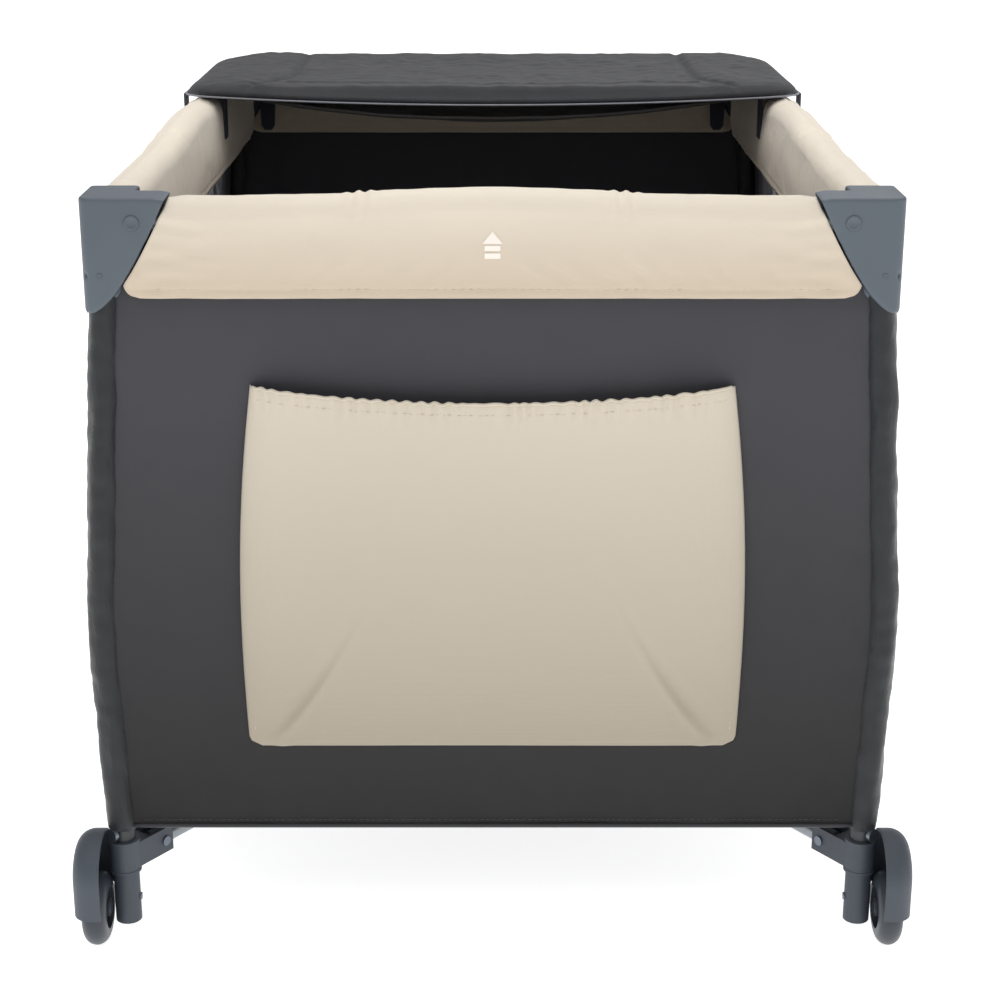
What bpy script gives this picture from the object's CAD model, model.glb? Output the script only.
"""Visual model of the travel play yard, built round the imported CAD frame."""

import math

import bmesh
import bpy
import numpy as np
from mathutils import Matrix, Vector, noise


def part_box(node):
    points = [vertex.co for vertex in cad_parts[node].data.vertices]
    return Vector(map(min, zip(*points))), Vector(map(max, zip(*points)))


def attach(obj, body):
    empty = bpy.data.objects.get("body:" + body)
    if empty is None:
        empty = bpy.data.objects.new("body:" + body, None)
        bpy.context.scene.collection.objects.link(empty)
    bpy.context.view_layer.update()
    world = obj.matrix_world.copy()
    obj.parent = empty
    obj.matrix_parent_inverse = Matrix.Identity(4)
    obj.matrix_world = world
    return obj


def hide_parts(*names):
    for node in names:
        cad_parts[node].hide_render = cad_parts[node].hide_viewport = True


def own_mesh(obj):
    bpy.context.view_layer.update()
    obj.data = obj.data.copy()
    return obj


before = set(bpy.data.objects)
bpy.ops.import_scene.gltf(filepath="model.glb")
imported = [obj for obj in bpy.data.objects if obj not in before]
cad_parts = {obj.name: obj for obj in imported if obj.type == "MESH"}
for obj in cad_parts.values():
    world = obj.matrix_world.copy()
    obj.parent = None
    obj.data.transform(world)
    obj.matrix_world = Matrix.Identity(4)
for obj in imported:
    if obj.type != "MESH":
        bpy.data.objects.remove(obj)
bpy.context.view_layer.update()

# ---------------------------------------------------------------- sizes

CORNERS = {"nl": (-1, -1), "nr": (1, -1), "fl": (-1, 1), "fr": (1, 1)}
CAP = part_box("corner_cap_fr")
HALF_W, HALF_L, YARD_H = CAP[1]
WING_DROP = YARD_H - CAP[0].z
WING_LEN = HALF_W - CAP[0].x
LEG_Y = sum(v.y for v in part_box("end_rail_fr")) / 2
TOP_X = sum(v.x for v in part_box("side_rail_fr")) / 2
RAIL_Z = sum(v.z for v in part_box("end_rail_fr")) / 2
LOW_X = sum(v.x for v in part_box("foot_fr")) / 2
LEG_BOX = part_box("leg_tube_fr")
TUBE_R = 0.011
BOW_X = LEG_BOX[1].x - TUBE_R
LEAN_Z, BOW_Z, LEG_TOP = 0.110, 0.330, LEG_BOX[1].z
COVER_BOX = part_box("rail_cover_far")
HEM_Z = COVER_BOX[0].z
COVER_RISE = COVER_BOX[1].z - YARD_H
COVER_OUT = COVER_BOX[1].y - LEG_Y
COVER_IN = LEG_Y - COVER_BOX[0].y
COVER_ROUND, COVER_BOW = 0.0195, 0.0028
PANEL_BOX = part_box("end_panel_far")
WALL_LOW, WALL_HIGH, WALL_Y = PANEL_BOX[0].z, PANEL_BOX[1].z, LEG_Y + 0.008
WALL_CLOTH, NET_CLOTH, BINDING_R = 0.0009, 0.0008, 0.0022
SLEEVE_R = 0.0142
SLEEVE_TOP = CAP[0].z + 0.042
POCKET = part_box("end_pocket")
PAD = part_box("changer_mat")
PAD_TOP, PAD_T = PAD[1].z, 0.012
PAD_LOW = PAD_TOP - PAD_T
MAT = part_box("mattress")
SEED = 7


def leg_x(z):
    """The leg axis' distance from the middle plane at height z, with its bends eased."""
    def straight(h):
        if h < LEAN_Z:
            return LOW_X
        if h < BOW_Z:
            return LOW_X + (h - LEAN_Z) * (BOW_X - LOW_X) / (BOW_Z - LEAN_Z)
        return BOW_X - (h - BOW_Z) * (BOW_X - TOP_X) / (LEG_TOP - BOW_Z)
    ease = 0.035
    return sum(straight(z + ease * k / 4) for k in range(-4, 5)) / 9


def wobble(x, y, z, scale, seed=0.0):
    """Smooth noise between about -1 and 1 that is the same in every run."""
    return noise.noise(Vector((x * scale + seed, y * scale - seed, z * scale + SEED)))


# ---------------------------------------------------------------- mesh helpers

def surface(name, rows, closed=False, caps=False):
    """A mesh of quads through rows of points; closed joins each row's ends."""
    n = len(rows[0])
    points = [tuple(p) for row in rows for p in row]
    faces = []
    span = n if closed else n - 1
    for i in range(len(rows) - 1):
        for j in range(span):
            k = (j + 1) % n
            faces.append((i * n + j, i * n + k, (i + 1) * n + k, (i + 1) * n + j))
    if caps:
        faces.append(tuple(range(n - 1, -1, -1)))
        faces.append(tuple((len(rows) - 1) * n + j for j in range(n)))
    return mesh_object(name, points, faces)


def mesh_object(name, points, faces):
    mesh = bpy.data.meshes.new(name)
    mesh.from_pydata(points, [], faces)
    bm = bmesh.new()
    bm.from_mesh(mesh)
    bmesh.ops.remove_doubles(bm, verts=bm.verts, dist=1e-6)
    bmesh.ops.dissolve_degenerate(bm, edges=bm.edges, dist=1e-7)
    bmesh.ops.recalc_face_normals(bm, faces=bm.faces)
    bm.to_mesh(mesh)
    bm.free()
    obj = bpy.data.objects.new(name, mesh)
    bpy.context.scene.collection.objects.link(obj)
    smooth(obj)
    return obj


def smooth(obj):
    obj.data.polygons.foreach_set("use_smooth", [True] * len(obj.data.polygons))


def bake(obj):
    """Replaces the mesh by what its modifiers make of it."""
    bpy.context.view_layer.update()
    evaluated = obj.evaluated_get(bpy.context.evaluated_depsgraph_get())
    mesh = bpy.data.meshes.new_from_object(evaluated)
    obj.modifiers.clear()
    obj.data = mesh
    smooth(obj)
    return obj


def thicken(obj, thickness, offset=0.0):
    """Gives a sheet its thickness, half on each side unless offset says otherwise."""
    m = obj.modifiers.new("solid", "SOLIDIFY")
    m.thickness, m.offset = thickness, offset
    m.use_even_offset = False
    return bake(obj)


def subdivide(obj):
    m = obj.modifiers.new("sub", "SUBSURF")
    m.levels = m.render_levels = 1
    return bake(obj)


def tube(name, path, radius, sides=10, closed=False):
    """A round tube along a list of points, with its ends rounded off."""
    points = [Vector(p) for p in path]
    rows, up = [], Vector((0.31, 0.17, 0.93))
    count = len(points)
    for i, p in enumerate(points):
        a = points[(i - 1) % count] if closed or i else p
        b = points[(i + 1) % count] if closed or i < count - 1 else p
        t = (b - a).normalized()
        side = t.cross(up).normalized()
        other = t.cross(side)
        r = radius if closed or 0 < i < count - 1 else radius * 0.55
        rows.append([p + r * (math.cos(q) * side + math.sin(q) * other)
                     for q in (2 * math.pi * k / sides for k in range(sides))])
    if closed:
        rows.append(rows[0])
    return surface(name, rows, closed=True, caps=not closed)


def lathe(name, profile, centre, axis, sides=48):
    """Turns (radius, height) pairs round an axis through centre."""
    turn = Vector((0, 0, 1)).rotation_difference(Vector(axis)).to_matrix()
    rows = [[turn @ Vector((r * math.cos(q), r * math.sin(q), h)) + Vector(centre)
             for q in (2 * math.pi * k / sides for k in range(sides))] for r, h in profile]
    return surface(name, rows, closed=True, caps=True)


def join(name, objects):
    """One object made of several, which are all placed at the origin."""
    bm = bmesh.new()
    for o in objects:
        bm.from_mesh(o.data)
        bpy.data.objects.remove(o)
    mesh = bpy.data.meshes.new(name)
    bm.to_mesh(mesh)
    bm.free()
    obj = bpy.data.objects.new(name, mesh)
    bpy.context.scene.collection.objects.link(obj)
    smooth(obj)
    return obj


def weld_halves(name, halves):
    """Joins two half shells and closes the seam where their edges meet."""
    both = join(name, halves)
    bm = bmesh.new()
    bm.from_mesh(both.data)
    bmesh.ops.remove_doubles(bm, verts=bm.verts, dist=1e-5)
    bmesh.ops.recalc_face_normals(bm, faces=bm.faces)
    bm.to_mesh(both.data)
    bm.free()
    return both


def stitches(name, path, normal):
    """Sewn dashes along a path, lying on the cloth; each path segment holds whole dashes."""
    length, gap, radius = 0.0034, 0.0022, 0.00035
    points = [Vector(p) for p in path]
    verts, faces = [], []
    step, offset = length + gap, 0.0
    lift = Vector(normal).normalized()
    for a, b in zip(points, points[1:]):
        run = (b - a).length
        if run < 1e-7:
            continue
        t = (b - a) / run
        side = t.cross(lift).normalized()
        while offset + length < run:
            p, q = a + t * offset, a + t * (offset + length)
            base = len(verts)
            for c, w in ((p, 0.4), (p + t * length * 0.2, 1), (q - t * length * 0.2, 1), (q, 0.4)):
                for s, u in ((1, 0), (0, 1), (-1, 0), (0, -1)):
                    verts.append(tuple(c + radius * w * (s * side + u * lift)))
            for r in range(3):
                for k in range(4):
                    m = (k + 1) % 4
                    faces.append((base + r * 4 + k, base + r * 4 + m,
                                  base + r * 4 + 4 + m, base + r * 4 + 4 + k))
            faces.append((base + 3, base + 2, base + 1, base))
            faces.append((base + 12, base + 13, base + 14, base + 15))
            offset += step
        offset = max(offset - run, 0.0)
    mesh = bpy.data.meshes.new(name)
    mesh.from_pydata(verts, [], faces)
    obj = bpy.data.objects.new(name, mesh)
    bpy.context.scene.collection.objects.link(obj)
    smooth(obj)
    return obj


def each_vertex(obj, move):
    """Moves every vertex of obj by the vector that move(position) gives."""
    for v in obj.data.vertices:
        v.co += Vector(move(v.co))
    obj.data.update()


def inflate(obj, voxel, pressure, cap, frames=12):
    """Plumps a closed form with the cloth solver, and lets no point go further than cap."""
    m = obj.modifiers.new("remesh", "REMESH")
    m.mode, m.voxel_size = "VOXEL", voxel
    bake(obj)
    start = np.array([v.co for v in obj.data.vertices], float)
    m = obj.modifiers.new("cloth", "CLOTH")
    m.settings.use_pressure = True
    m.settings.uniform_pressure_force = pressure
    m.settings.effector_weights.gravity = 0
    m.settings.quality = 5
    m.point_cache.frame_end = frames
    for f in range(1, frames + 1):
        bpy.context.scene.frame_set(f)
    bake(obj)
    bpy.context.scene.frame_set(1)
    end = np.array([v.co for v in obj.data.vertices], float)
    shift = end - start
    far = np.linalg.norm(shift, axis=1, keepdims=True)
    shift *= np.minimum(1, cap / np.maximum(far, 1e-9))
    obj.data.vertices.foreach_set("co", (start + shift).ravel())
    obj.data.update()
    m = obj.modifiers.new("soften", "SMOOTH")
    m.factor, m.iterations = 0.5, 3
    return bake(obj)


# ---------------------------------------------------------------- materials

def srgb(r, g, b):
    """A linear colour from the 0 to 255 values of a screen colour."""
    def lin(c):
        c /= 255
        return c / 12.92 if c <= 0.04045 else ((c + 0.055) / 1.055) ** 2.4
    return (lin(r), lin(g), lin(b), 1.0)


def shade(color, k):
    return tuple(min(1.0, c * k) for c in color[:3]) + (1.0,)


class Nodes:
    """A material's node tree, with short ways to add to it."""

    def __init__(self, name):
        self.material = bpy.data.materials.new(name)
        self.material.use_nodes = True
        self.tree = self.material.node_tree
        self.shader = self.tree.nodes["Principled BSDF"]
        self.place = self.node("ShaderNodeTexCoord").outputs["Object"]

    def node(self, kind, **values):
        n = self.tree.nodes.new(kind)
        for k, v in values.items():
            if k in n.inputs:
                n.inputs[k].default_value = v
            else:
                setattr(n, k, v)
        return n

    def link(self, a, b):
        self.tree.links.new(a, b)

    def noise(self, scale, detail=3.0, rough=0.5, stretch=None):
        n = self.node("ShaderNodeTexNoise", Scale=scale, Detail=detail, Roughness=rough)
        source = self.place
        if stretch:
            m = self.node("ShaderNodeMapping")
            m.inputs["Scale"].default_value = stretch
            self.link(self.place, m.inputs["Vector"])
            source = m.outputs["Vector"]
        self.link(source, n.inputs["Vector"])
        return n.outputs["Fac"]

    def wave(self, scale, direction):
        n = self.node("ShaderNodeTexWave", Scale=scale)
        n.bands_direction = direction
        n.wave_profile = "SIN"
        self.link(self.place, n.inputs["Vector"])
        return n.outputs["Fac"]

    def math(self, operation, a, b):
        n = self.node("ShaderNodeMath", operation=operation)
        for socket, value in zip(n.inputs, (a, b)):
            if isinstance(value, (int, float)):
                socket.default_value = value
            else:
                self.link(value, socket)
        return n.outputs[0]

    def ramp(self, source, low, high, start=0.35, end=0.65):
        n = self.node("ShaderNodeValToRGB")
        n.color_ramp.elements[0].position, n.color_ramp.elements[0].color = start, low
        n.color_ramp.elements[1].position, n.color_ramp.elements[1].color = end, high
        self.link(source, n.inputs["Fac"])
        return n.outputs["Color"]

    def span(self, source, low, high):
        n = self.node("ShaderNodeMapRange")
        n.inputs["To Min"].default_value, n.inputs["To Max"].default_value = low, high
        self.link(source, n.inputs["Value"])
        return n.outputs["Result"]

    def bump(self, layers):
        """Chains (height, distance, strength) layers into the shader's normal."""
        last = None
        for height, distance, strength in layers:
            n = self.node("ShaderNodeBump", Distance=distance, Strength=strength)
            self.link(height, n.inputs["Height"])
            if last:
                self.link(last, n.inputs["Normal"])
            last = n.outputs["Normal"]
        self.link(last, self.shader.inputs["Normal"])

    def set(self, **values):
        for k, v in values.items():
            self.shader.inputs[k.replace("_", " ")].default_value = v
        return self


WAVE_SCALE = 0.3142   # a wave texture of this scale repeats once a metre


def weave_height(m, thread):
    """Three crossed waves, so a weave shows whichever way the cloth faces."""
    scale = WAVE_SCALE / thread
    a = m.math("ADD", m.wave(scale, "X"), m.wave(scale, "Z"))
    return m.math("ADD", a, m.wave(scale, "Y"))


def fabric(name, color, rough=0.8, sheen=0.2, thread=0.0009, wrinkle=0.0, crease=9.0,
           stretch=None, vary=0.05, low=None):
    """Woven cloth; low is (colour, z from, z to, 0, 1), a tone that it shades into lower down."""
    m = Nodes(name)
    tone = m.ramp(m.noise(5.5, 4), shade(color, 1 - vary), shade(color, 1 + vary), 0.3, 0.7)
    if low:
        split = m.node("ShaderNodeSeparateXYZ")
        m.link(m.place, split.inputs[0])
        height = m.node("ShaderNodeMapRange")
        for k, v in zip(("From Min", "From Max", "To Min", "To Max"), low[1:]):
            height.inputs[k].default_value = v
        m.link(split.outputs["Z"], height.inputs["Value"])
        mix = m.node("ShaderNodeMix", data_type="RGBA")
        m.link(height.outputs["Result"], mix.inputs["Factor"])
        mix.inputs[6].default_value = low[0]
        m.link(tone, mix.inputs[7])
        tone = mix.outputs[2]
    m.link(tone, m.shader.inputs["Base Color"])
    m.link(m.span(m.noise(40, 2), rough - 0.06, rough + 0.06), m.shader.inputs["Roughness"])
    layers = [(weave_height(m, thread), 0.00012, 0.6)]
    if wrinkle:
        layers.insert(0, (m.noise(crease, 4, 0.55, stretch), wrinkle, 0.7))
    m.bump(layers)
    m.set(Sheen_Weight=sheen, Sheen_Roughness=0.5, Specular_IOR_Level=0.35)
    return m.material


def plastic(name, color, rough, grain, scale, vary=0.05):
    """Moulded plastic with a fine grain."""
    m = Nodes(name)
    m.link(m.ramp(m.noise(9, 3), shade(color, 1 - vary), shade(color, 1 + vary)),
           m.shader.inputs["Base Color"])
    m.link(m.span(m.noise(60, 3), rough - 0.05, rough + 0.07), m.shader.inputs["Roughness"])
    m.bump([(m.noise(25, 2), 0.0006, 0.25), (m.noise(scale, 2), grain, 0.8)])
    m.set(Specular_IOR_Level=0.45)
    return m.material


def metal(name, color, rough, metallic, brushed=None):
    """Painted or bare steel; brushed stretches its grain along a tube."""
    m = Nodes(name)
    m.link(m.ramp(m.noise(14, 4), shade(color, 0.9), shade(color, 1.06)),
           m.shader.inputs["Base Color"])
    m.link(m.span(m.noise(220, 2, 0.6, brushed), rough - 0.08, rough + 0.1),
           m.shader.inputs["Roughness"])
    m.bump([(m.noise(500, 2, 0.5, brushed), 0.00004, 0.5)])
    m.set(Metallic=metallic)
    return m.material


def mesh_cloth(name, color, cell=0.0026):
    """Open knitted mesh: round holes in a fine grid let the far side show."""
    m = Nodes(name)
    m.link(m.ramp(m.noise(30, 2), shade(color, 0.85), shade(color, 1.15)),
           m.shader.inputs["Base Color"])
    scale = WAVE_SCALE / cell
    hole = m.math("MULTIPLY", m.wave(scale, "Y"), m.wave(scale, "Z"))
    alpha = m.node("ShaderNodeMapRange")
    for k, v in zip(("From Min", "From Max", "To Min", "To Max"), (0.3, 0.42, 1.0, 0.12)):
        alpha.inputs[k].default_value = v
    m.link(hole, alpha.inputs["Value"])
    m.link(alpha.outputs["Result"], m.shader.inputs["Alpha"])
    m.bump([(hole, 0.0004, 0.5)])
    m.set(Roughness=0.7, Sheen_Weight=0.3)
    return m.material


CHARCOAL = srgb(60, 60, 65)

M = {
    "cover": fabric("cover_cloth", srgb(230, 220, 204), 0.78, 0.25, wrinkle=0.0018, crease=16,
                    stretch=(1, 1, 0.6), vary=0.02,
                    low=(srgb(200, 185, 165), 0.665, 0.762, 0.0, 1.0)),
    "pocket": fabric("pocket_cloth", srgb(209, 199, 182), 0.72, 0.2, wrinkle=0.0008, crease=9,
                     vary=0.015, low=(srgb(168, 158, 141), 0.22, 0.56, 0.0, 1.0)),
    "panel": fabric("panel_cloth", CHARCOAL, 0.55, 0.12, thread=0.0007, wrinkle=0.0012,
                    crease=7, vary=0.03, low=(srgb(14, 13, 12), 0.12, 0.56, 0.0, 1.0)),
    "sleeve": fabric("sleeve_cloth", srgb(31, 33, 36), 0.32, 0.1, thread=0.0007,
                     wrinkle=0.006, crease=24, stretch=(1, 1, 0.4), vary=0.06),
    "border": fabric("border_cloth", srgb(58, 58, 63), 0.6, 0.15, wrinkle=0.003, crease=12,
                     vary=0.05),
    "binding": fabric("binding_tape", srgb(52, 52, 55), 0.35, 0.1, thread=0.0006, vary=0.04),
    "mesh": mesh_cloth("side_mesh", srgb(88, 84, 104)),
    "floor": fabric("floor_cloth", srgb(40, 40, 43), 0.75, 0.1, wrinkle=0.002, crease=8),
    "mattress": fabric("quilted_cloth", srgb(86, 88, 96), 0.85, 0.25, wrinkle=0.002, crease=22),
    "changer": fabric("changer_cloth", srgb(40, 41, 45), 0.62, 0.08, thread=0.0008,
                      wrinkle=0.0045, crease=14, stretch=(1, 1.4, 1), vary=0.06),
    "sling": fabric("sling_cloth", srgb(36, 33, 33), 0.7, 0.1, wrinkle=0.003, crease=10),
    "grey_piping": fabric("grey_piping_cord", srgb(128, 130, 138), 0.5, 0.2, thread=0.0006),
    "mark": fabric("printed_mark", srgb(247, 240, 231), 0.6, 0.1, thread=0.0005, vary=0.01),
    "thread": fabric("sewing_thread", srgb(222, 208, 184), 0.6, 0.3, thread=0.0004, vary=0.05),
    "dark_thread": fabric("dark_thread", srgb(44, 45, 50), 0.5, 0.3, thread=0.0004, vary=0.05),
    "cap": plastic("cap_plastic", srgb(83, 92, 101), 0.45, 0.00005, 700),
    "base": plastic("moulded_plastic", srgb(68, 75, 84), 0.5, 0.00025, 1300, 0.07),
    "wheel": plastic("wheel_plastic", srgb(54, 60, 68), 0.38, 0.00008, 600),
    "latch": plastic("latch_plastic", srgb(74, 78, 84), 0.5, 0.0001, 900),
    "button": plastic("button_plastic", srgb(176, 62, 42), 0.4, 0.0001, 900),
    "hooks": plastic("hook_plastic", srgb(46, 49, 64), 0.5, 0.0001, 900),
    "rubber": plastic("foot_rubber", srgb(34, 36, 40), 0.7, 0.0003, 500),
    "leg": metal("leg_paint", srgb(62, 65, 68), 0.4, 0.3),
    "rail": metal("rail_steel", srgb(150, 155, 160), 0.35, 0.9, (0.1, 0.1, 1)),
    "pin": metal("pin_steel", srgb(120, 128, 138), 0.3, 0.9),
}


def dress(obj, material):
    """Gives a piece its material here, and its finish in the record."""
    obj.data.materials.clear()
    obj.data.materials.append(M[material])
    return obj


CAD_LOOKS = (
    ("leg_tube", "leg"), ("corner_cap", "cap"), ("base_bracket", "base"), ("leg_pins", "pin"),
    ("caster_housing", "base"), ("foot", "base"), ("wheel", "wheel"), ("end_rail", "rail"),
    ("side_rail", "rail"), ("base_tube", "rail"), ("latch_housing", "latch"),
    ("latch_button", "button"), ("hub_body", "base"), ("hub_handle", "button"),
    ("hub_pins", "pin"), ("hub_foot", "rubber"), ("changer_frame", "pin"),
    ("changer_hooks", "hooks"),
)
for node_name, node_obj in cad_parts.items():
    for prefix, look in CAD_LOOKS:
        if node_name.startswith(prefix):
            node_obj.data.materials.clear()
            node_obj.data.materials.append(M[look])
            break

# ---------------------------------------------------------------- camera and light

CAMERA_AT = (0.0, -2.331, 1.069)
PITCH = math.radians(18.54)
camera = bpy.data.cameras.new("camera")
camera.lens = 73.3
camera.shift_x = 0.0075
camera.clip_end = 300
camera_obj = bpy.data.objects.new("camera", camera)
camera_obj.location = CAMERA_AT
camera_obj.rotation_euler = (math.pi / 2 - PITCH, 0, 0)
bpy.context.scene.collection.objects.link(camera_obj)
bpy.context.scene.camera = camera_obj


def area_light(name, at, aim, size, power):
    light = bpy.data.lights.new(name, "AREA")
    light.shape, light.size, light.energy = "DISK", size, power
    obj = bpy.data.objects.new(name, light)
    obj.location = at
    obj.rotation_euler = (Vector(aim) - Vector(at)).to_track_quat("-Z", "Y").to_euler()
    bpy.context.scene.collection.objects.link(obj)


area_light("key", (-1.5, -2.6, 3.4), (0, 0, 0.5), 2.0, 17)
area_light("fill", (2.6, -2.6, 1.7), (0, 0, 0.4), 2.4, 6)
area_light("top", (0.2, 0.6, 3.3), (0, 0, 0.5), 2.4, 27)
area_light("opening", (0, -1.0, 3.0), (0, 0.1, 0.5), 1.2, 8)
area_light("inside", (0, -0.3, 1.3), (0, 0.5, 0.55), 0.5, 1.2)
area_light("back", (0.8, 3.4, 2.2), (0, 0.4, 0.6), 2.2, 4)
world = bpy.data.worlds.new("studio")
world.use_nodes = True
world.node_tree.nodes["Background"].inputs["Color"].default_value = (1, 1, 1, 1)
world.node_tree.nodes["Background"].inputs["Strength"].default_value = 0.56
bpy.context.scene.world = world
bpy.context.scene.view_settings.view_transform = "Standard"

FLOOR_REACH = 120
floor = mesh_object("studio_floor", [(-FLOOR_REACH, -FLOOR_REACH, 0), (FLOOR_REACH, -FLOOR_REACH, 0),
                                     (FLOOR_REACH, FLOOR_REACH, 0), (-FLOOR_REACH, FLOOR_REACH, 0)],
                    [(0, 1, 2, 3)])
floor_look = Nodes("studio_floor")
floor_tone = floor_look.ramp(floor_look.noise(2, 2), (0.93, 0.93, 0.93, 1), (0.95, 0.95, 0.95, 1))
floor_look.link(floor_tone, floor_look.shader.inputs["Base Color"])
floor_look.set(Roughness=0.9, Emission_Color=(1, 1, 1, 1), Emission_Strength=0.8)
floor.data.materials.append(floor_look.material)

# ---------------------------------------------------------------- corner caps

# A wing narrows downwards along a power curve, from WING_LEN near the top to TIP_U at its tip.
TIP_U, WING_POWER, WING_CURVE = 0.0065, 1.55, WING_DROP - 0.002


def wing_tool(sx, sy, axis):
    """What is trimmed off a cap beyond the curve of one wing, low on the cap."""
    curve = [(TIP_U + (WING_LEN - TIP_U) * t, CAP[0].z + WING_CURVE * t ** WING_POWER)
             for t in (k / 20 for k in range(13))]
    outline = [(TIP_U, CAP[0].z - 0.01)] + curve + [(0.09, curve[-1][1]), (0.09, CAP[0].z - 0.01)]
    rows = []
    for across in (-0.01, 0.0145):
        row = []
        for u, z in outline:
            a, b = (u, across) if axis == 0 else (across, u)
            row.append((sx * (HALF_W - a), sy * (HALF_L - b), z))
        rows.append(row)
    return surface("trim", rows, closed=True, caps=True)


for key, (sx, sy) in CORNERS.items():
    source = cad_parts[f"corner_cap_{key}"]
    cap = bpy.data.objects.new(f"cap_{key}", source.data.copy())
    bpy.context.scene.collection.objects.link(cap)
    for axis in (0, 1):
        tool = wing_tool(sx, sy, axis)
        m = cap.modifiers.new(f"trim_{axis}", "BOOLEAN")
        m.operation, m.solver, m.object = "DIFFERENCE", "EXACT", tool
        bake(cap)
        bpy.data.objects.remove(tool)
    m = cap.modifiers.new("remesh", "REMESH")
    m.mode, m.voxel_size = "VOXEL", 0.0014
    m = cap.modifiers.new("round", "SMOOTH")
    m.factor, m.iterations = 0.5, 12
    bake(cap)
    dress(cap, "cap")
    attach(cap, f"leg_{key}")
    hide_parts(f"corner_cap_{key}")
    rings = []
    ring = [(0.0001, 0.0004), (0.0042, 0.0005), (0.0048, 0.0009), (0.0058, 0.0011),
            (0.0068, 0.0008), (0.0072, 0.0)]
    dot = [(0.0001, 0.0002), (0.0016, 0.0003), (0.0022, 0.0006), (0.0026, 0.0)]
    for at, axis in (((TOP_X - 0.026, HALF_L), (0, 1, 0)), ((HALF_W, LEG_Y - 0.026), (1, 0, 0))):
        centre = (sx * at[0], sy * at[1], RAIL_Z)
        rings.append(lathe("ring", ring, centre, (sx * axis[0], sy * axis[1], 0), 32))
    for at, axis in (((HALF_W - 0.017, HALF_L), (0, 1, 0)), ((HALF_W, HALF_L - 0.02), (1, 0, 0))):
        centre = (sx * at[0], sy * at[1], RAIL_Z - 0.048)
        rings.append(lathe("dot", dot, centre, (sx * axis[0], sy * axis[1], 0), 24))
    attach(dress(join(f"cap_rivets_{key}", rings), "cap"), f"leg_{key}")

# ---------------------------------------------------------------- rail covers

def cover_end(z, half):
    """Where a cover stops, along the corner cap's curved edge, at height z."""
    low = HEM_Z + 0.013
    t = min(1.0, ((max(z, low) - YARD_H + WING_DROP) / WING_CURVE) ** (1 / WING_POWER))
    edge = half - TIP_U - (WING_LEN - TIP_U) * t - 0.0008
    if z >= low:
        return edge
    k = max(0.0, (z - HEM_Z) / (low - HEM_Z))
    return edge - 0.014 * (1 - math.sqrt(max(0.0, 1 - (1 - k) ** 2)))


def cover_crest(u):
    """A cover's upper edge at u from its middle, where the latch lifts it."""
    return YARD_H - 0.002 * min(1.0, (u / 0.2) ** 2) + COVER_RISE * math.exp(-(u / 0.110) ** 2)


def cover_section(s, top):
    """A point (n, z) on the cover's skin: s runs from the outer hem to the inner hem."""
    r = COVER_ROUND
    side = top - r - HEM_Z
    flat = COVER_OUT + COVER_IN - 2 * r
    arc = math.pi * r / 2
    total = 2 * side + 2 * arc + flat
    d = s * total
    if d < side:
        z = HEM_Z + d
        return COVER_OUT + COVER_BOW * math.sin(math.pi * d / side), z
    d -= side
    if d < arc:
        a = d / r
        return COVER_OUT - r + r * math.cos(a), top - r + r * math.sin(a)
    d -= arc
    if d < flat:
        return COVER_OUT - r - d, top + 0.0012 * math.sin(math.pi * d / flat)
    d -= flat
    if d < arc:
        a = d / r
        return -COVER_IN + r - r * math.sin(a), top - r + r * math.cos(a)
    d -= arc
    return -COVER_IN - COVER_BOW * math.sin(math.pi * d / side), top - r - d


def cover_relief(u, n, z, half, seed):
    """How far the padded skin stands in or out of its plain shape."""
    gap = half - WING_LEN - u
    u = math.hypot(u, 0.03)
    puff = 0.0016 * wobble(u * 0.8, n * 3, z * 1.4, 17, seed)
    fine = 0.0007 * wobble(u, n * 2, z * 0.6, 55, seed + 3)
    high = max(0.0, min(1.0, (z - YARD_H + 0.022) / 0.02))
    ruffle = 0.0016 * math.exp(-((u - 0.122) / 0.013) ** 2) * high * math.sin(u * 2 * math.pi / 0.011)
    low = math.exp(-((z - HEM_Z - 0.022) / 0.016) ** 2)
    ruffle += 0.0013 * low * wobble(u * 1.0 + z * 0.9, n, z * 0.25, 58, seed + 6)
    near_end = math.exp(-(gap / 0.05) ** 2)
    pull = 0.0016 * near_end * wobble(u * 0.5, n, z * 1.6, 60, seed + 9)
    hem = -0.0011 * math.exp(-((z - HEM_Z - 0.008) / 0.0016) ** 2)
    return puff + fine + ruffle + pull + hem


def cover_half(name, half, to_world, seed):
    """Half a cover, from the middle of its side to a corner cap, with no wall at the middle."""
    columns, rows = 120 if half < 0.45 else 170, 84
    grid = []
    for i in range(rows + 1):
        s = i / rows
        line = []
        for j in range(columns + 1):
            f = j / columns
            n, z = cover_section(s, YARD_H)
            end = cover_end(min(z, YARD_H), half)
            u = f * end
            lift = cover_crest(u) - YARD_H
            tuck = 0.0013 * math.exp(-((end - u) / 0.011) ** 2)
            n, z = cover_section(s, YARD_H + lift)
            e = cover_relief(u, n, z, half, seed) - tuck
            if z > YARD_H + lift - 0.0155:
                z += e * 0.9
                n += e * 0.4 * (1 if n > 0 else -1)
            else:
                n += e * (1 if n > 0 else -1)
            line.append(to_world(u, n, z))
        grid.append(line)
    half_cover = thicken(surface(name, grid), 0.0032, offset=-1.0)
    bm = bmesh.new()
    bm.from_mesh(half_cover.data)
    middle = to_world(0, 0, 0)
    out = Vector(to_world(1, 0, 0)) - Vector(middle)
    ends = [f for f in bm.faces if all((v.co - Vector(middle)).dot(out) < 1e-4 for v in f.verts)]
    bmesh.ops.delete(bm, geom=ends, context="FACES_ONLY")
    bm.to_mesh(half_cover.data)
    bm.free()
    return half_cover


def hem_path(half, to_world, outer):
    """The line of the hem's seam on the outer or the inner face."""
    n = (COVER_OUT + 0.0002) if outer else -(COVER_IN + 0.0002)
    return [to_world(u, n, HEM_Z + 0.008) for u in np.linspace(0.002, half - 0.062, 40)]


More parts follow.
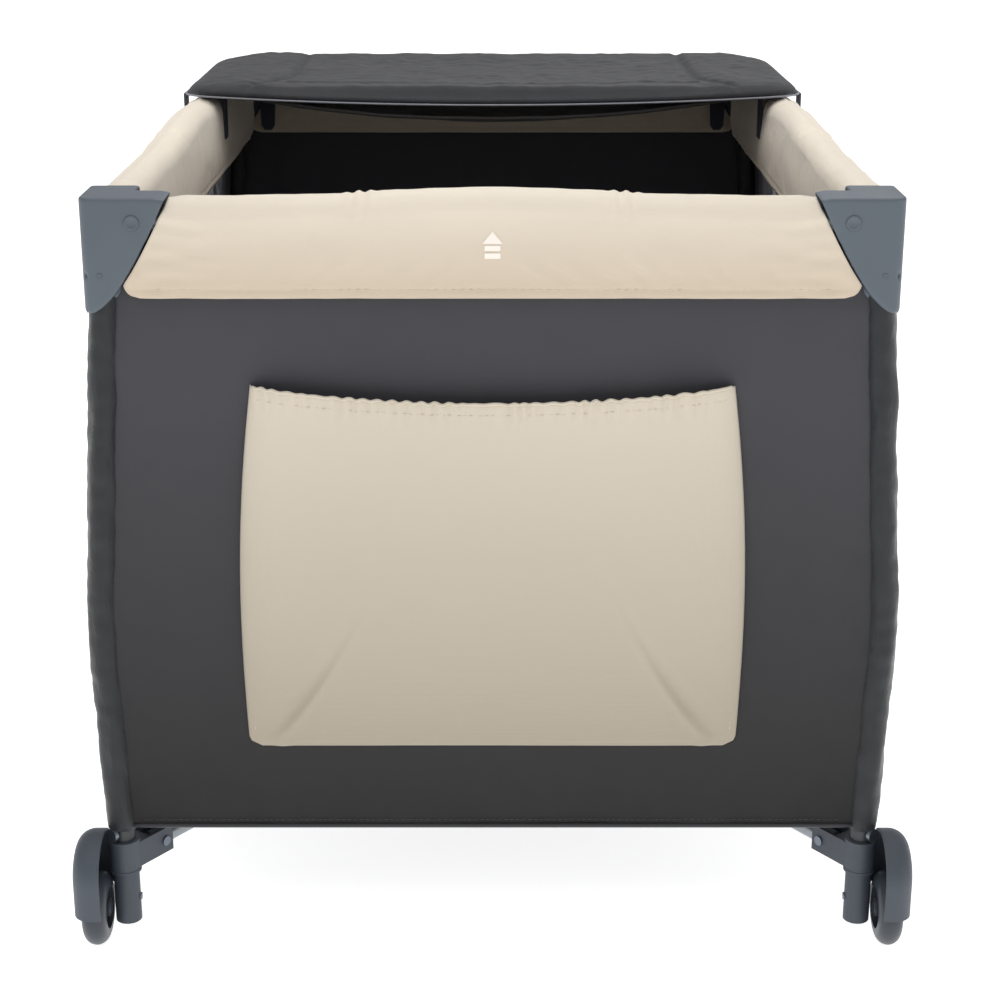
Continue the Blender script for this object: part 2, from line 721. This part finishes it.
RAILS = []
for key, (sx, sy) in CORNERS.items():
    end_name, side_name = ("near" if sy < 0 else "far"), ("left" if sx < 0 else "right")
    RAILS.append((f"cover_{end_name}_{side_name}", HALF_W, f"end_rail_{key}",
                  f"rail_cover_{end_name}", (0, sy * LEG_Y, RAIL_Z), (0, sy, 0), sy * 2.0,
                  lambda u, n, z, sx=sx, sy=sy: (sx * u, sy * (LEG_Y + n), z)))
    RAILS.append((f"cover_{side_name}_{end_name}", HALF_L, f"side_rail_{key}",
                  f"rail_cover_{side_name}", (sx * TOP_X, 0, RAIL_Z), (sx, 0, 0), 5 + sx * 2.0,
                  lambda u, n, z, sx=sx, sy=sy: (sx * (TOP_X + n), sy * u, z)))
for name, half, body, node, axis_point, face, seed, place in RAILS:
    pieces = [
        (cover_half(name, half, place, seed), "cover", "rail_cover"),
        (stitches(f"{name}_hem_stitch", hem_path(half, place, True), face), "thread", "rail_cover"),
        (stitches(f"{name}_inner_stitch", hem_path(half, place, False), [-c for c in face]),
         "thread", "rail_cover"),
    ]
    for piece, look, slot_name in pieces:
        dress(piece, look)
        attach(piece, body)
        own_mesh(piece)
    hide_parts(node)

# The right half of the printed arrow over two bars, as (x, z) outlines.
MARK_SHAPES = (((0.0, 0.7185), (0.0091, 0.7075), (0.0, 0.7075)),
               ((0.0, 0.7058), (0.0072, 0.7058), (0.0072, 0.7010), (0.0, 0.7010)),
               ((0.0, 0.6990), (0.0072, 0.6990), (0.0072, 0.6940), (0.0, 0.6940)))


def skin_out(x, z):
    """How far the near cover's outer face stands out from its rail."""
    side = cover_crest(x) - COVER_ROUND - HEM_Z
    n = COVER_OUT + COVER_BOW * math.sin(math.pi * (z - HEM_Z) / side)
    return n + cover_relief(x, n, z, HALF_W, -2.0)


for key in ("nl", "nr"):
    sx, parts = CORNERS[key][0], []
    for shape in MARK_SHAPES:
        rows = [[(sx * x, -(LEG_Y + skin_out(x, z) + out), z) for x, z in shape]
                for out in (-0.0006, 0.0007)]
        parts.append(surface("mark", rows, closed=True, caps=True))
    mark = dress(join(f"cover_mark_{key}", parts), "mark")
    mark.data.polygons.foreach_set("use_smooth", [False] * len(mark.data.polygons))
    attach(mark, f"end_rail_{key}")
    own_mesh(mark)

# ---------------------------------------------------------------- walls


def panel_edge(z):
    """Half the width of an end wall at height z, just inside the legs' sleeves."""
    return leg_x(z) - 0.0095


def end_wall(sy, name):
    """An end wall, taut between the legs; the far one is looser."""
    columns, rows = 150, 110
    grid = []
    for i in range(rows + 1):
        z = WALL_LOW + (WALL_HIGH - WALL_LOW) * i / rows
        line = []
        for j in range(columns + 1):
            f = 2 * j / columns - 1
            x = f * panel_edge(z)
            edge = 1 - abs(f) ** 14
            pull = 0.0012 * wobble(x * 1.2, 0, z * 0.5, 14, sy) * edge
            pull += 0.0008 * wobble(x * 3, 0, z, 40, sy + 4) * max(0, abs(f) - 0.8) * 5
            if sy > 0:
                pull += 0.0022 * wobble(x * 3, 0, z * 0.6, 11, 5) * edge
            line.append((x, sy * (WALL_Y - 0.0006 + pull), z))
        grid.append(line)
    return thicken(surface(name, grid), WALL_CLOTH)


def wall_hem(sy, name):
    path = [(x, sy * (WALL_Y + 0.0001), WALL_LOW + 0.0005)
            for x in np.linspace(-panel_edge(WALL_LOW), panel_edge(WALL_LOW), 60)]
    return tube(name, path, BINDING_R, 10)


def sleeve(sx, sy, name):
    """The cloth tube round a leg, with long puckers."""
    rows = []
    low, high = WALL_LOW - 0.004, SLEEVE_TOP
    count = 150
    for i in range(count + 1):
        z = low + (high - low) * i / count
        r_end = 1 - 0.06 * math.exp(-((z - low) / 0.004) ** 2)
        row = []
        for k in range(40):
            q = 2 * math.pi * k / 40
            c, s = math.cos(q), math.sin(q)
            r = SLEEVE_R * r_end + 0.0016 * wobble(c * 0.03, s * 0.03, z * 0.5, 42, sx + 2 * sy)
            r += 0.0009 * wobble(c * 0.012, s * 0.012, z * 1.1, 70, 5 + sx)
            row.append((sx * (leg_x(z) + r * c), sy * (LEG_Y + r * s), z))
        rows.append(row)
    return thicken(surface(name, rows, closed=True), WALL_CLOTH)


def side_sheet(sx, name, y0, y1, z0, z1, out, columns, rows, rough=0.0012):
    """Part of a side wall; it bows out with the legs."""
    grid = []
    for i in range(rows + 1):
        z = z0 + (z1 - z0) * i / rows
        line = []
        for j in range(columns + 1):
            y = y0 + (y1 - y0) * j / columns
            pull = rough * wobble(0, y * 1.4, z * 0.8, 12, sx * 3)
            pull += rough * 0.6 * wobble(0, y, z * 0.5, 38, sx)
            line.append((sx * (leg_x(z) + 0.0074 + out + pull), y, z))
        grid.append(line)
    return thicken(surface(name, grid), NET_CLOTH)


SIDE_END = LEG_Y - 0.006
WINDOW_Y, WINDOW_LOW, WINDOW_HIGH = 0.430, 0.205, 0.66
for sy, end_name, key in ((-1, "near", "nl"), (1, "far", "fl")):
    wall = end_wall(sy, f"end_wall_{end_name}")
    hem = wall_hem(sy, f"end_wall_hem_{end_name}")
    seam_z = WALL_LOW + 0.0075
    line = [(x, sy * (WALL_Y + 0.0006), seam_z) for x in np.linspace(-0.345, 0.345, 30)]
    seam = stitches(f"end_wall_seam_{end_name}", line, (0, sy, 0))
    for piece, look in ((wall, "panel"), (hem, "binding"), (seam, "dark_thread")):
        dress(piece, look)
        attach(piece, f"leg_{key}")
        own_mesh(piece)
    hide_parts(f"end_panel_{end_name}")
for key, (sx, sy) in CORNERS.items():
    tube_cloth = dress(sleeve(sx, sy, f"leg_sleeve_{key}"), "sleeve")
    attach(tube_cloth, f"leg_{key}")
for sx, side_name, key in ((-1, "left", "nl"), (1, "right", "nr")):
    net = side_sheet(sx, f"side_net_{side_name}", -WINDOW_Y - 0.01, WINDOW_Y + 0.01,
                     WINDOW_LOW - 0.01, WALL_HIGH - 0.008, -0.0012, 120, 50, 0.0016)
    borders = [
        side_sheet(sx, "low", -SIDE_END, SIDE_END, WALL_LOW, WINDOW_LOW, 0.0, 140, 12),
        side_sheet(sx, "high", -WINDOW_Y, WINDOW_Y, WINDOW_HIGH, WALL_HIGH, 0.0, 140, 6),
        side_sheet(sx, "front", -SIDE_END, -WINDOW_Y, WINDOW_LOW, WALL_HIGH, 0.0, 14, 60),
        side_sheet(sx, "back", WINDOW_Y, SIDE_END, WINDOW_LOW, WALL_HIGH, 0.0, 14, 60),
    ]
    border = join(f"side_border_{side_name}", borders)
    corners = [(-WINDOW_Y, WINDOW_LOW), (WINDOW_Y, WINDOW_LOW), (WINDOW_Y, WINDOW_HIGH),
               (-WINDOW_Y, WINDOW_HIGH)]
    ring = []
    for (ya, za), (yb, zb) in zip(corners, corners[1:] + corners[:1]):
        for k in range(24):
            y, z = ya + (yb - ya) * k / 24, za + (zb - za) * k / 24
            ring.append((sx * (leg_x(z) + 0.0082), y, z))
    trim = tube(f"window_binding_{side_name}", ring, BINDING_R, 8, closed=True)
    hem = tube(f"side_hem_{side_name}",
               [(sx * (leg_x(WALL_LOW) + 0.0074), y, WALL_LOW + 0.0005)
                for y in np.linspace(-SIDE_END, SIDE_END, 60)], BINDING_R, 10)
    for piece, look in ((net, "mesh"), (border, "border"), (trim, "binding"), (hem, "binding")):
        dress(piece, look)
        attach(piece, f"leg_{key}")
        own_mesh(piece)
    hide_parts(f"side_panel_{side_name}")
    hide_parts(f"side_panel_{side_name}")

# ---------------------------------------------------------------- end pocket

POCKET_HALF = POCKET[1].x
POCKET_LOW, POCKET_TOP = POCKET[0].z, POCKET[1].z
POCKET_DEPTH = POCKET[1].y - POCKET[0].y


def pocket_half(v):
    """Half the pocket's width at v, from 0 at its lower edge to 1 at its upper one."""
    side = POCKET_HALF + 0.005 * math.sin(math.pi * v) - 0.0135 * v ** 2.6
    corner = 0.012
    d = v * (POCKET_TOP - POCKET_LOW)
    if d < corner:
        side -= corner - math.sqrt(corner ** 2 - (corner - d) ** 2)
    return side


def pocket_point(f, v):
    """f is -1 to 1 across the pocket and v is 0 to 1 up it."""
    x = f * pocket_half(v)
    z = POCKET_LOW + v * (POCKET_TOP - POCKET_LOW - 0.0145 * (1 - f * f))
    side = math.sqrt(1 - abs(f) ** 8)
    belly = 1 - (1 - min(1.0, v / 0.55)) ** 2.1
    depth = 0.0015 + (POCKET_DEPTH + 0.003) * side * belly * (0.94 - 0.42 * max(0.0, v - 0.55))
    for s in (-1, 1):
        across, up = (1 - s * f) * POCKET_HALF, v * (POCKET_TOP - POCKET_LOW)
        fold = up - 0.9 * (across - 0.020) - 6.5 * (across - 0.020) ** 2
        reach = math.exp(-((across - 0.055) / 0.036) ** 2)
        depth += 0.0034 * reach * math.exp(-(fold / 0.007) ** 2)
        depth -= 0.0026 * reach * math.exp(-((fold - 0.015) / 0.010) ** 2)
    depth += 0.0010 * wobble(x * 1.1, 0, z * 0.7, 9, 2) * side
    edge = max(0.0, (v - 0.93) / 0.07)
    if edge > 0:
        beat = x * 2 * math.pi / 0.0125 + 5.0 * wobble(x, 0, 0, 34, 4)
        size = 0.55 + 0.9 * wobble(x, 1, 0, 26, 9)
        depth += 0.0018 * size * edge * math.sin(beat) * side ** 0.3
        z += 0.0013 * size * edge * math.sin(beat * 0.93 + 0.8)
    return x, -(WALL_Y + max(depth, 0.0012)), z


pocket_rows = [[pocket_point(2 * j / 360 - 1, (i / 140) ** 0.85) for j in range(361)]
               for i in range(141)]
pocket = thicken(surface("pocket", pocket_rows), WALL_CLOTH)
roll_path = [pocket_point(2 * j / 360 - 1, 1.0) for j in range(2, 359)]
roll = tube("pocket_elastic", [(x, y - 0.0002, z + 0.0005) for x, y, z in roll_path], 0.0016, 8)
line_path = [pocket_point(2 * j / 360 - 1, 0.972) for j in range(2, 359, 4)]
pocket_stitch = stitches("pocket_stitch", [(x, y - 0.0006, z) for x, y, z in line_path], (0, -1, 0))
side_lines = []
for s in (-1, 1):
    side_lines.append(stitches("side_line", [
        (x - s * 0.003, y - 0.0008, z) for x, y, z in
        (pocket_point(s * 0.985, v) for v in np.linspace(0.05, 0.95, 30))], (0, -1, 0)))
pocket_sides = join("pocket_side_stitch", side_lines)
for piece, look in ((pocket, "pocket"), (roll, "pocket"), (pocket_stitch, "thread"),
                    (pocket_sides, "thread")):
    dress(piece, look)
    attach(piece, "leg_nl")
    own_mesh(piece)
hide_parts("end_pocket")

# ---------------------------------------------------------------- floor sling

FLOOR_Z = sum(v.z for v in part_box("floor_panel")) / 2
LEG_CLEAR, HUB_CLEAR = 0.022, 0.031
for key, (sx, sy) in CORNERS.items():
    grid = []
    for i in range(41):
        y = (LEG_Y + 0.004) * i / 40
        line = []
        for j in range(31):
            x = (LOW_X + 0.003) * j / 30
            x2, y2 = x, y
            if x > LOW_X - LEG_CLEAR and y > LEG_Y - LEG_CLEAR:
                x2, y2 = LOW_X - LEG_CLEAR, LEG_Y - LEG_CLEAR
            hub = math.hypot(x2, y2)
            if hub < HUB_CLEAR:
                scale = HUB_CLEAR / max(hub, 1e-6)
                x2, y2 = (x2 * scale, y2 * scale) if hub > 1e-6 else (0.022, 0.022)
            sag = -0.0008 + 0.0006 * wobble(x2, y2, 0, 20, sx + sy)
            line.append((sx * x2, sy * y2, FLOOR_Z + sag))
        grid.append(line)
    sling = thicken(surface(f"floor_cloth_{key}", grid), NET_CLOTH)
    dress(sling, "floor")
    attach(sling, f"base_{key}")
    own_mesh(sling)
    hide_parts("floor_panel")

# ---------------------------------------------------------------- mattress

def block(name, half_x, half_y, low, high, r):
    """A cushion form: flat faces that round over to the edge."""
    rows = []
    nx, ny = 28, 40
    for top in (False, True):
        for i in range(ny + 1):
            g = 2 * i / ny - 1
            y = half_y * math.sin(g * math.pi / 2)
            line = []
            for j in range(nx + 1):
                f = 2 * j / nx - 1
                x = half_x * math.sin(f * math.pi / 2)
                d = min(half_x - abs(x), half_y - abs(y))
                e = math.sqrt(max(0.0, 1 - (1 - min(1.0, d / r)) ** 2))
                mid, h = (low + high) / 2, (high - low) / 2
                line.append((x, y, mid + (h if top else -h) * e))
            rows.append(line)
    return weld_halves(name, [surface(name, rows[:ny + 1]), surface(name, rows[ny + 1:])])


MAT_HALF_X, MAT_HALF_Y, MAT_TOP = MAT[1].x - 0.003, MAT[1].y - 0.003, MAT[1].z
mattress = block("mattress_pad", MAT_HALF_X, MAT_HALF_Y, MAT[0].z + 0.003, MAT_TOP - 0.003, 0.011)
inflate(mattress, 0.007, 3.0, 0.003)
QUILT = 0.075


def mattress_relief(p):
    """Quilted diamonds on the top, and the three folds between its four boards."""
    if p.z < MAT_TOP - 0.012:
        return 0, 0, 0
    fold = min(abs(p.y - y) for y in (-MAT_HALF_Y / 2, 0, MAT_HALF_Y / 2))
    a = abs(((p.x + p.y) / QUILT) % 1 - 0.5) * QUILT
    b = abs(((p.x - p.y) / QUILT) % 1 - 0.5) * QUILT
    dip = 0.0024 * (math.exp(-(a / 0.0045) ** 2) + math.exp(-(b / 0.0045) ** 2))
    dip = min(dip, 0.0028)
    dip = max(dip * (1 if fold > 0.02 else 0), 0.0085 * math.exp(-(fold / 0.007) ** 2))
    return 0, 0, -dip + 0.0008 * wobble(p.x, p.y, 0, 18, 3)


subdivide(mattress)
each_vertex(mattress, mattress_relief)
dress(mattress, "mattress")
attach(mattress, "mattress")
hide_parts("mattress")
edge = []
for k in range(120):
    q = 2 * math.pi * k / 120
    c, s = math.cos(q), math.sin(q)
    n = (abs(c) ** 12 + abs(s) ** 12) ** (-1 / 12)
    edge.append((MAT_HALF_X * c * n, MAT_HALF_Y * s * n, (MAT[0].z + MAT_TOP) / 2))
mat_edge = dress(tube("mattress_binding", edge, 0.0024, 8, closed=True), "binding")
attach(mat_edge, "mattress")

# ---------------------------------------------------------------- changing table

PAD_HALF = PAD[1].x
PAD_FRONT, PAD_REAR = PAD[0].y, PAD[1].y
FRONT_R, REAR_R = 0.045, 0.110
BOLSTER_X = 0.248


def pad_half(y):
    """Half the changing pad's width at y, with its rounded corners."""
    w = PAD_HALF
    if y < PAD_FRONT + FRONT_R:
        d = FRONT_R - (y - PAD_FRONT)
        w -= FRONT_R - math.sqrt(max(0.0, FRONT_R ** 2 - d ** 2))
    if y > PAD_REAR - REAR_R:
        d = REAR_R - (PAD_REAR - y)
        w -= REAR_R - math.sqrt(max(0.0, REAR_R ** 2 - d ** 2))
    return w


def pad_distance(x, y):
    """How far a point inside the pad's outline is from it."""
    x = abs(x)
    for r, y0, sign in ((FRONT_R, PAD_FRONT + FRONT_R, -1), (REAR_R, PAD_REAR - REAR_R, 1)):
        x0 = PAD_HALF - r
        if x > x0 and (y - y0) * sign > 0:
            return r - math.hypot(x - x0, y - y0)
    return min(PAD_HALF - x, y - PAD_FRONT, PAD_REAR - y)


def pad_form():
    """The changing pad before it is plumped: two shells that meet along its outline."""
    halves, rows, columns = [], 64, 96
    for top in (-1, 1):
        grid = []
        for i in range(rows + 1):
            g = i / rows
            y = PAD_FRONT + (PAD_REAR - PAD_FRONT) * (1 - math.cos(math.pi * g)) / 2
            w = pad_half(y)
            line = []
            for j in range(columns + 1):
                x = w * math.sin(math.pi / 2 * (2 * j / columns - 1))
                d = max(0.0, pad_distance(x, y))
                e = math.sqrt(max(0.0, 1 - (1 - min(1.0, d / 0.013)) ** 2))
                mid = PAD_LOW + PAD_T * 0.5
                rise = 0.0052 + 0.0016 * min(1.0, d / 0.035)
                line.append((x, y, mid + top * (rise if top > 0 else 0.0058) * e))
            grid.append(line)
        halves.append(surface("pad_half", grid))
    return weld_halves("changer_pad", halves)


def lip_droop(x, y, reach):
    """How far the pad's front edge hangs below its ends, between the rails."""
    k = max(0.0, min(1.0, (PAD_FRONT + reach - y) / (0.7 * reach)))
    return -0.0095 * max(0.0, 1 - (x / 0.335) ** 2) * k * k * (3 - 2 * k)


def pad_relief(p):
    """The pad's sewn lines, its raised bolsters, its hollow middle and its wrinkles."""
    if p.z < PAD_LOW + PAD_T * 0.45:
        return 0, 0, lip_droop(p.x, p.y, 0.06)
    d = max(0.0, pad_distance(p.x, p.y))
    inside = min(1.0, d / 0.03)
    seam = abs(abs(p.x) - BOLSTER_X - 0.05 * max(0.0, (PAD_FRONT + 0.12 - p.y) / 0.12) ** 2)
    front = abs(p.y - PAD_FRONT - 0.052 - 0.004 * wobble(p.x, 0, 0, 14, 2))
    dip = 0.0045 * math.exp(-(seam / 0.005) ** 2)
    if abs(p.x) < BOLSTER_X:
        dip = max(dip, 0.0028 * math.exp(-(front / 0.005) ** 2))
    pucker = 0.0007 * wobble(p.x, p.y, 0, 95, 3) * math.exp(-(front / 0.022) ** 2)
    pucker += 0.0006 * wobble(p.x, p.y * 2, 0, 80, 3) * math.exp(-(seam / 0.02) ** 2)
    across = max(0.0, min(1.0, (abs(p.x) - BOLSTER_X) / (PAD_HALF - BOLSTER_X)))
    bulge = 0.0030 * math.sin(math.pi * across) ** 0.7
    middle = -0.0045 * max(0.0, 1 - (p.x / BOLSTER_X) ** 2) * min(1.0, max(0.0, d - 0.02) / 0.08)
    crease = 0.0020 * wobble(p.x * 1.1, p.y * 0.5, 0, 21, 8) + 0.0014 * wobble(p.x, p.y, 0, 62, 5)
    rise = (bulge + middle + crease) * inside + pucker * min(1.0, d / 0.01) - dip * inside
    return 0, 0, rise + lip_droop(p.x, p.y, 0.016)


pad = pad_form()
inflate(pad, 0.0045, 4.0, 0.0015)
subdivide(pad)
each_vertex(pad, pad_relief)
dress(pad, "changer")
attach(pad, "changer")
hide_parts("changer_mat")


def outline(inset, z):
    """Points round the pad's outline, drawn in by inset."""
    points = []
    spans = [(-1, PAD_FRONT, FRONT_R), (1, PAD_REAR, REAR_R)]
    for side, y_edge, r in spans:
        x0, y0 = PAD_HALF - r, y_edge - side * r
        for sx in ((1, -1) if side > 0 else (-1, 1)):
            for k in range(15):
                a = math.pi / 2 * k / 14
                q = a if (side > 0) == (sx > 0) else math.pi / 2 - a
                points.append((sx * (x0 + (r - inset) * math.cos(q)),
                               y0 + side * (r - inset) * math.sin(q), z))
    return points


def resample(points, count):
    """Points at even steps along a closed outline."""
    points = [Vector(p) for p in points] + [Vector(points[0])]
    run = [0.0]
    for a, b in zip(points, points[1:]):
        run.append(run[-1] + (b - a).length)
    out, k = [], 0
    for i in range(count):
        d = run[-1] * i / count
        while run[k + 1] < d:
            k += 1
        t = (d - run[k]) / max(1e-9, run[k + 1] - run[k])
        out.append(points[k].lerp(points[k + 1], t))
    return out


pipe_path = [(p.x, p.y, p.z + lip_droop(p.x, p.y, 0.03))
             for p in resample(outline(-0.0003, PAD_LOW + 0.0024), 260)]
pipe = dress(tube("changer_piping", pipe_path, 0.0011, 8, closed=True), "grey_piping")
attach(pipe, "changer")

SLING_HALF, SLING_FRONT, SLING_REAR = 0.283, PAD_FRONT + 0.012, PAD_REAR - 0.02
sling_rows = []
for i in range(41):
    t = i / 40
    y = SLING_FRONT + (SLING_REAR - SLING_FRONT) * t
    line = []
    for j in range(81):
        f = 2 * j / 80 - 1
        sag = (0.0235 + 0.022 * math.sin(math.pi * t)) * (1 - abs(f) ** 2.3)
        z = PAD_LOW - 0.001 - sag + 0.0014 * wobble(f * 0.3, y, 0, 20, 4) * (1 - f * f)
        line.append((f * SLING_HALF, y, z))
    sling_rows.append(line)
changer_sling = thicken(surface("changer_sling", sling_rows), WALL_CLOTH)
sling_hem = tube("changer_sling_hem", sling_rows[0], BINDING_R, 8)
for piece in (changer_sling, sling_hem):
    dress(piece, "sling")
    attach(piece, "changer")
